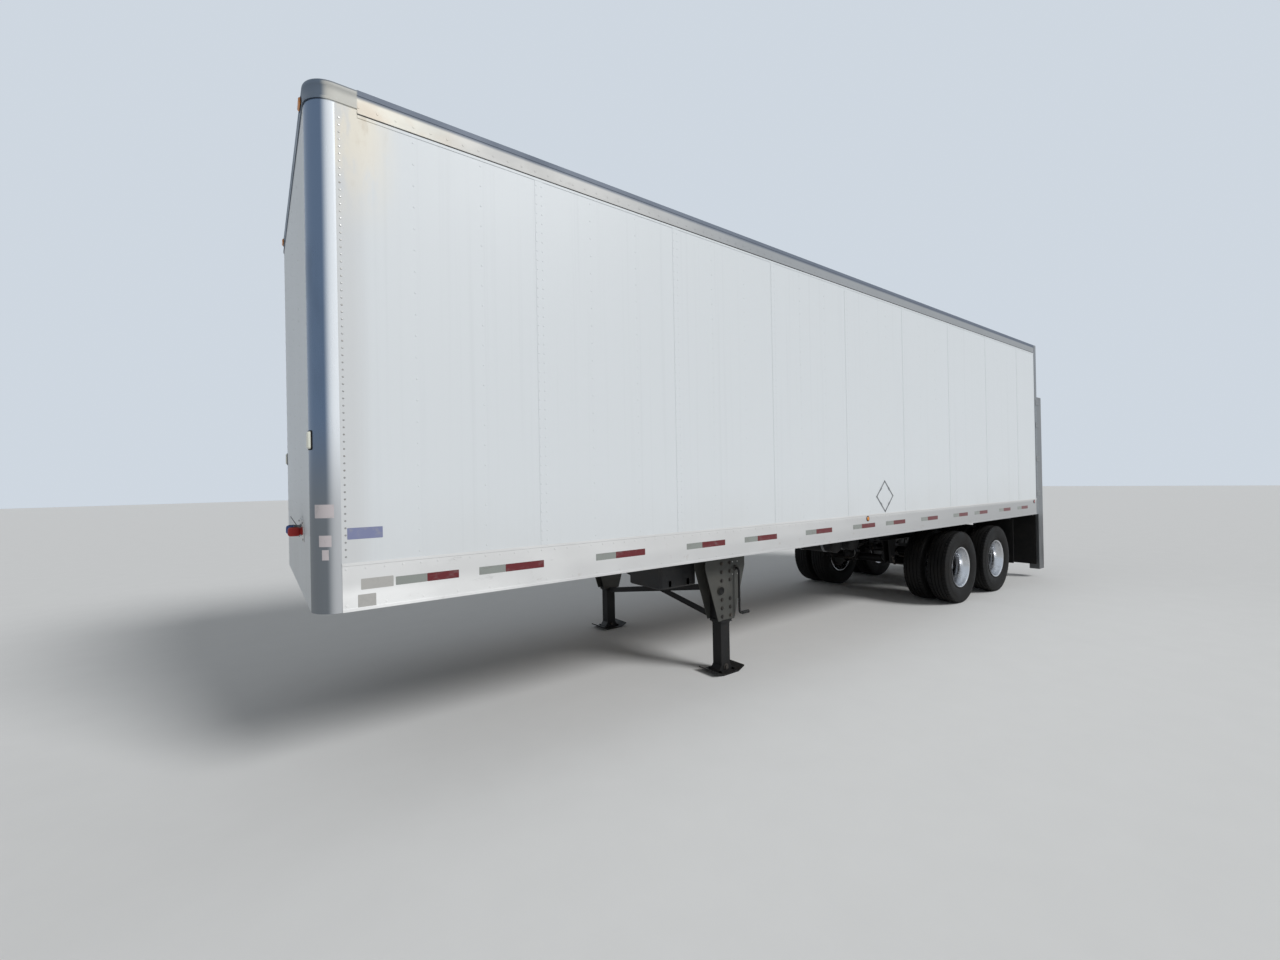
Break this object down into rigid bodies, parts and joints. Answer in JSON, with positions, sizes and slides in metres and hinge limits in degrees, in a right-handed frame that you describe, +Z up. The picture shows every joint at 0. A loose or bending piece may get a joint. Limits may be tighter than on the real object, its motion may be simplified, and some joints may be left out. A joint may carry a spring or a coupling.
{
  "type": "dry van semi trailer with lift gate",
  "caption": "Box semi trailer on landing legs, tandem twin wheels on a slider bogie, king pin, roll-up rear door and rail lift gate with folding platform.",
  "frame": {"origin": "on the ground, under the centre of the whole trailer's bounding box", "axes": "+X forward to the nose and king pin, +Y to the trailer's left (crank side), +Z up"},
  "size_m": [11.4, 2.606, 4.11],
  "materials": {
    "white_panel": "gloss white coated panel, lightly soiled",
    "polished_steel": "bright rolled stainless",
    "mill_aluminium": "weathered mill-finish extrusion",
    "hardwood": "oiled hardwood boards",
    "chassis_black": "satin black chassis paint with road dust",
    "dusty_grey": "black paint dulled grey by road dust",
    "galvanised_steel": "zinc-coated steel",
    "spring_steel": "dark rolled spring leaves",
    "cast_iron": "dark rough casting",
    "black_rubber": "matt black sheet rubber",
    "gate_steel": "galvanised lift gate steel",
    "gate_dark": "dark greased slide steel",
    "coupling_red": "red coated coupling",
    "amber_lens": "amber lens",
    "red_lens": "red lens",
    "tyre": "black tyre rubber",
    "polished_rim": "polished forged wheel"
  },
  "bodies": {
    "trailer": {"nose_wall": "white_panel", "corner_posts": "polished_steel", "nose_cap": "mill_aluminium", "side_walls": "white_panel", "top_rails": "mill_aluminium", "bottom_rails": "mill_aluminium", "roof": "mill_aluminium", "floor": "hardwood", "cross_members": "chassis_black", "rear_frame": "galvanised_steel", "roll_door": "white_panel", "coupler": "chassis_black", "leg_tubes": "chassis_black", "leg_feet": "chassis_black", "leg_wings": "dusty_grey", "leg_braces": "chassis_black", "leg_gearbox": "chassis_black", "slider_rails": "chassis_black", "bogie_rails": "chassis_black", "bogie_crossbars": "chassis_black", "spring_hangers": "chassis_black", "axles": "chassis_black", "leaf_springs": "spring_steel", "equalizers": "cast_iron", "radius_rods": "chassis_black", "brake_chambers": "chassis_black", "air_tanks": "chassis_black", "mud_flaps": "black_rubber", "gate_columns": "gate_steel", "gate_sill": "gate_steel", "bumper_bar": "gate_steel", "power_box": "chassis_black", "gladhands": "coupling_red", "service_plate": "mill_aluminium", "placard_frames": "mill_aluminium", "amber_lamps": "amber_lens", "red_lamps": "red_lens"},
    "carriage": {"gate_runners": "gate_dark"},
    "platform": {"gate_platform": "gate_steel"},
    "wheels_front_left": {"tyres_front_left": "tyre", "rims_front_left": "polished_rim", "hub_front_left": "cast_iron"},
    "wheels_front_right": {"tyres_front_right": "tyre", "rims_front_right": "polished_rim", "hub_front_right": "cast_iron"},
    "wheels_rear_left": {"tyres_rear_left": "tyre", "rims_rear_left": "polished_rim", "hub_rear_left": "cast_iron"},
    "wheels_rear_right": {"tyres_rear_right": "tyre", "rims_rear_right": "polished_rim", "hub_rear_right": "cast_iron"}
  },
  "joints": [
    {"name": "wheels_front_left_spin", "type": "hinge", "parent": "trailer", "child": "wheels_front_left", "pos_m": [-2.335, 0.965, 0.515], "axis": [0, 1, 0], "continuous": true},
    {"name": "wheels_front_right_spin", "type": "hinge", "parent": "trailer", "child": "wheels_front_right", "pos_m": [-2.335, -0.965, 0.515], "axis": [0, 1, 0], "continuous": true},
    {"name": "wheels_rear_left_spin", "type": "hinge", "parent": "trailer", "child": "wheels_rear_left", "pos_m": [-3.58, 0.965, 0.515], "axis": [0, 1, 0], "continuous": true},
    {"name": "wheels_rear_right_spin", "type": "hinge", "parent": "trailer", "child": "wheels_rear_right", "pos_m": [-3.58, -0.965, 0.515], "axis": [0, 1, 0], "continuous": true},
    {"name": "gate_lift", "type": "slide", "parent": "trailer", "child": "carriage", "axis": [0, 0, 1], "range_m": [-1.14, 0]},
    {"name": "platform_fold", "type": "hinge", "parent": "carriage", "child": "platform", "pos_m": [-5.645, 0, 1.255], "axis": [0, -1, 0], "range_deg": [0, 90]}
  ]
}
